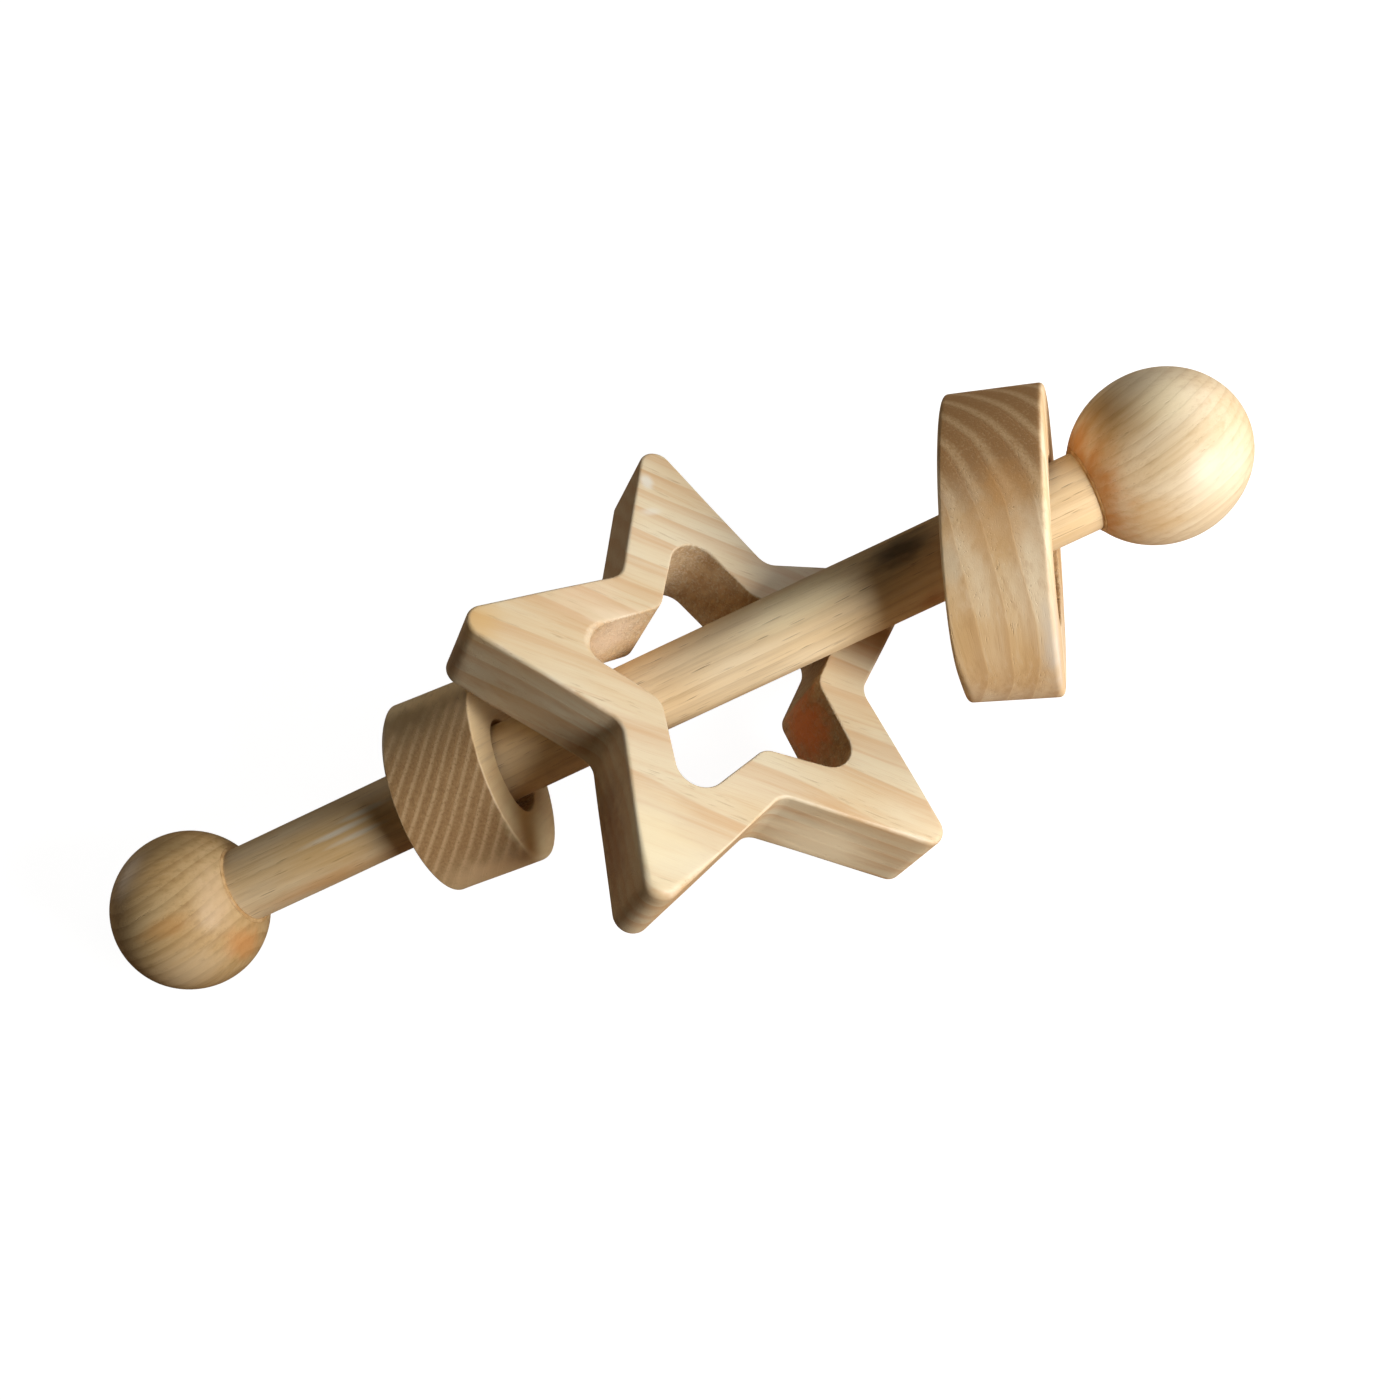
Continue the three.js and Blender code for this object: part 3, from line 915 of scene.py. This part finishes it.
STAR_FINISH = Finish(depth=0.12, size=11.0, seed=9)
STAR_FIRST_SEED = 21
STAR_WAVES = 2.5
HOLE_WAVES = 3.0
STAR_FRONT_WEAR = (
    Wear((-32.0, 22.0), 7.0, 0.8),
    Wear((-31.0, -23.0), 6.0, 0.4),
    Wear((-26.0, 10.0), 9.0, -0.3),
)
STAR_EDGES = (
    Edge(0.42, 0.85, STAR_WAVES, STAR_FRONT_WEAR),
    Edge(0.25, 0.5, HOLE_WAVES, (Wear((6.5, 19.5), 3.5, 1.0),)),
    Edge(0.4, 0.8, HOLE_WAVES),
    Edge(0.6, 1.1, STAR_WAVES),
)
STAR_TONES = Tones(
    pale=(225, 213, 184),
    warm=(218, 196, 158),
    dark=(196, 142, 86),
    pore=(158, 114, 72),
    end=(206, 166, 118),
    line=(226, 196, 154),
    worn=(238, 228, 206),
)
STAR_CUT = Cut(*along_board(-121.5, 38), ring_width=3.1, wander=2.2, pith=70.0, ring_depth=0.4,
               line_depth=0.4, streak_depth=0.25, pore_depth=0.25)
STAR_STAINS_AND_PAINTED_SHADE_AND_LIGHT = (
    StainAndPaintedLight((7.1, 33.2, 2.8), (3.0, 1.8, 1.4), (228, 226, 216), 0.7),
    StainAndPaintedLight((7.1, 27.6, 4.1), (3.0, 1.0, 2.4), (228, 224, 212), 0.55),
    StainAndPaintedLight((7.1, 11.0, 35.5), (4.0, 5.0, 5.0), (212, 172, 106), 0.6),
    StainAndPaintedLight((7.1, 14.7, 18.8), (3.0, 6.0, 9.0), (232, 202, 172), 0.3),
    StainAndPaintedLight((7.1, -24.0, 22.5), (4.0, 10.0, 10.0), (240, 226, 186), 0.5),
    # Painted shade: darker brown on the fifth point's face, beside the dowel
    StainAndPaintedLight((7.1, 1.7, -25.5), (4.0, 6.0, 9.0), (192, 140, 86), 0.4),
    # Painted shade: dark brown on the outer wall from the valley to the third point, deepest towards that shaded
    # valley
    StainAndPaintedLight((-2.5, -20.0, 22.4), (8.0, 13.0, 2.5), (160, 98, 60), 0.5),
    StainAndPaintedLight((-1.5, -14.0, 21.4), (8.0, 6.0, 2.5), (120, 66, 22), 0.4),
    # Painted shade: darker brown on the outer wall from the second point to that valley, darkest near the point
    StainAndPaintedLight((-2.5, 2.0, 29.0), (8.0, 14.0, 14.0), (176, 134, 80), 0.4),
    StainAndPaintedLight((-2.0, 11.0, 37.5), (7.0, 4.0, 4.0), (136, 96, 64), 0.5),
    # Painted light: saturated orange on the hole's wall by the corner between the fourth and fifth points,
    # standing in for warm light bounced into that shaded wall
    StainAndPaintedLight((-1.0, -8.0, -13.2), (9.0, 9.0, 2.0), (248, 146, 82), 0.8),
    StainAndPaintedLight((2.0, 10.0, 15.0), (8.0, 3.0, 7.0), (246, 224, 198), 0.7),
    StainAndPaintedLight((-3.0, -26.0, -9.0), (9.0, 9.0, 13.0), (255, 238, 202), 0.95),
)


def star_place(dowel):
    """The star's first point lies towards the mount that the record has on its front face."""
    mount = next(m for m in frame["record"]["mounts"] if m["name"] == "star_front_face")
    centre, axis = turning_axis("star_ring", dowel.axes[:, 0])
    return Place(centre, axes_from(axis, np.array(mount["pos_m"]) - centre))


def build_star(dowel):
    place = star_place(dowel)
    low, high, _, _ = extents("star_ring", place.centre, place.axes[:, 0])
    outline = star_outline(STAR_TIP_RADIUS, STAR_VALLEY_RADIUS, STAR_TIP_ROUND, STAR_VALLEY_ROUND)
    hole = star_outline(HOLE_TIP_RADIUS, HOLE_CORNER_RADIUS, HOLE_TIP_ROUND, HOLE_CORNER_ROUND)
    wood = Ash("star_wood", place, STAR_TONES, STAR_CUT, STAR_STAINS_AND_PAINTED_SHADE_AND_LIGHT)
    return build_plate("star", place, outline, hole, high - low,
                       STAR_EDGES, STAR_FIRST_SEED, STAR_FINISH, wood.material)


# The whole rattle and its surroundings


def build_pieces():
    centre, axis = turning_axis("dowel", np.array(frame["joints"][0]["axis"]))
    dowel = Place(centre, axes_from(axis, np.array((0.0, 1.0, 0.0))))
    stands_for = (
        (build_dowel(dowel), "dowel", "handle", "dowel_wood"),
        (build_left_ball(dowel), "left_end_ball", "handle", "ball_wood"),
        (build_right_ball(dowel), "right_end_ball", "handle", "ball_wood"),
        (build_small_ring(dowel), "small_ring", "small_ring", "ring_wood"),
        (build_star(dowel), "star_ring", "star_ring", "star_wood"),
        (build_large_ring(dowel), "large_ring", "large_ring", "ring_wood"),
    )
    for piece, node, body, slot in stands_for:
        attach(piece, body)
        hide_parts(node)
    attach(build_glue("left_glue_line", "left_end_ball", -1, dowel, LEFT_GLUE_TONES), "handle")
    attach(build_glue("right_glue_line", "right_end_ball", 1, dowel, RIGHT_GLUE_TONES), "handle")


def build_camera():
    azimuth = math.radians(VIEW_AZIMUTH)
    elevation = math.radians(VIEW_ELEVATION)
    back = Vector((
        math.sin(azimuth) * math.cos(elevation),
        -math.cos(azimuth) * math.cos(elevation),
        math.sin(elevation),
    ))
    data = bpy.data.cameras.new("camera")
    data.sensor_width = SENSOR_MM
    data.lens = FOCAL_LENGTH_PX / IMAGE_PX * SENSOR_MM
    data.clip_start = NEAREST_SEEN
    camera = bpy.data.objects.new("camera", data)
    roll = Matrix.Rotation(math.radians(-VIEW_ROLL), 4, "Z")
    upright = (-back).to_track_quat("-Z", "Y").to_matrix().to_4x4()
    camera.matrix_world = Matrix.Translation(VIEW_TARGET + back * VIEW_DISTANCE) @ upright @ roll
    bpy.context.scene.collection.objects.link(camera)
    bpy.context.scene.camera = camera


def build_lamp(lamp):
    """At strength 1 a lamp lights a white surface that faces it to plain white."""
    data = bpy.data.lights.new(lamp.name, "AREA")
    data.shape = "DISK"
    data.size = lamp.width
    data.energy = lamp.strength * (math.pi * lamp.distance) ** 2
    data.color = lamp.tint
    turn = math.radians(lamp.azimuth)
    rise = math.radians(lamp.elevation)
    towards = Vector((math.cos(turn) * math.cos(rise), math.sin(turn) * math.cos(rise), math.sin(rise)))
    light = bpy.data.objects.new(lamp.name, data)
    light.location = VIEW_TARGET + lamp.distance * towards
    light.rotation_euler = (-towards).to_track_quat("-Z", "Y").to_euler()
    light.visible_camera = False
    bpy.context.scene.collection.objects.link(light)


def build_floor():
    """A floor that the camera sees as white with faint shadows, and that throws a little warm light up."""
    material = bpy.data.materials.new("floor")
    shader = Shader(material)
    lit = shader.node("BsdfDiffuse", {"Color": FLOOR_SEEN}).outputs["BSDF"]
    away = shader.vector("LENGTH", shader.node("TexCoord").outputs["Object"])
    extra = shader.product(shader.span(away, *FLOOR_GLOW_RISES), FLOOR_EXTRA_GLOW)
    strength = shader.math("ADD", FLOOR_GLOW, extra)
    glow = shader.node("Emission", {"Color": WHITE, "Strength": strength}).outputs["Emission"]
    seen = shader.node("AddShader", {0: lit, 1: glow}).outputs["Shader"]
    bounce = shader.node("BsdfDiffuse", {"Color": FLOOR_BOUNCE}).outputs["BSDF"]
    is_camera = shader.node("LightPath").outputs["Is Camera Ray"]
    shader.output(shader.node("MixShader", {0: is_camera, 1: bounce, 2: seen}).outputs["Shader"])
    corners = [(x * FLOOR_REACH, y * FLOOR_REACH, 0) for x, y in ((-1, -1), (1, -1), (1, 1), (-1, 1))]
    mesh = bpy.data.meshes.new("floor")
    mesh.from_pydata(corners, [], [(0, 1, 2, 3)])
    mesh.materials.append(material)
    floor = bpy.data.objects.new("floor", mesh)
    bpy.context.scene.collection.objects.link(floor)


def build_room():
    """A dim warm room that the camera sees as white."""
    world = bpy.data.worlds.new("room")
    shader = Shader(world)
    dim = shader.node("Background", {"Color": ROOM_TINT, "Strength": ROOM_STRENGTH}).outputs[0]
    white = shader.node("Background", {"Color": WHITE, "Strength": 1.0}).outputs[0]
    is_camera = shader.node("LightPath").outputs["Is Camera Ray"]
    seen = shader.node("MixShader", {0: is_camera, 1: dim, 2: white}).outputs["Shader"]
    shader.output(seen, "OutputWorld")
    bpy.context.scene.world = world


build_pieces()
build_camera()
for lamp in LAMPS:
    build_lamp(lamp)
build_floor()
build_room()
bpy.context.scene.view_settings.view_transform = "Standard"
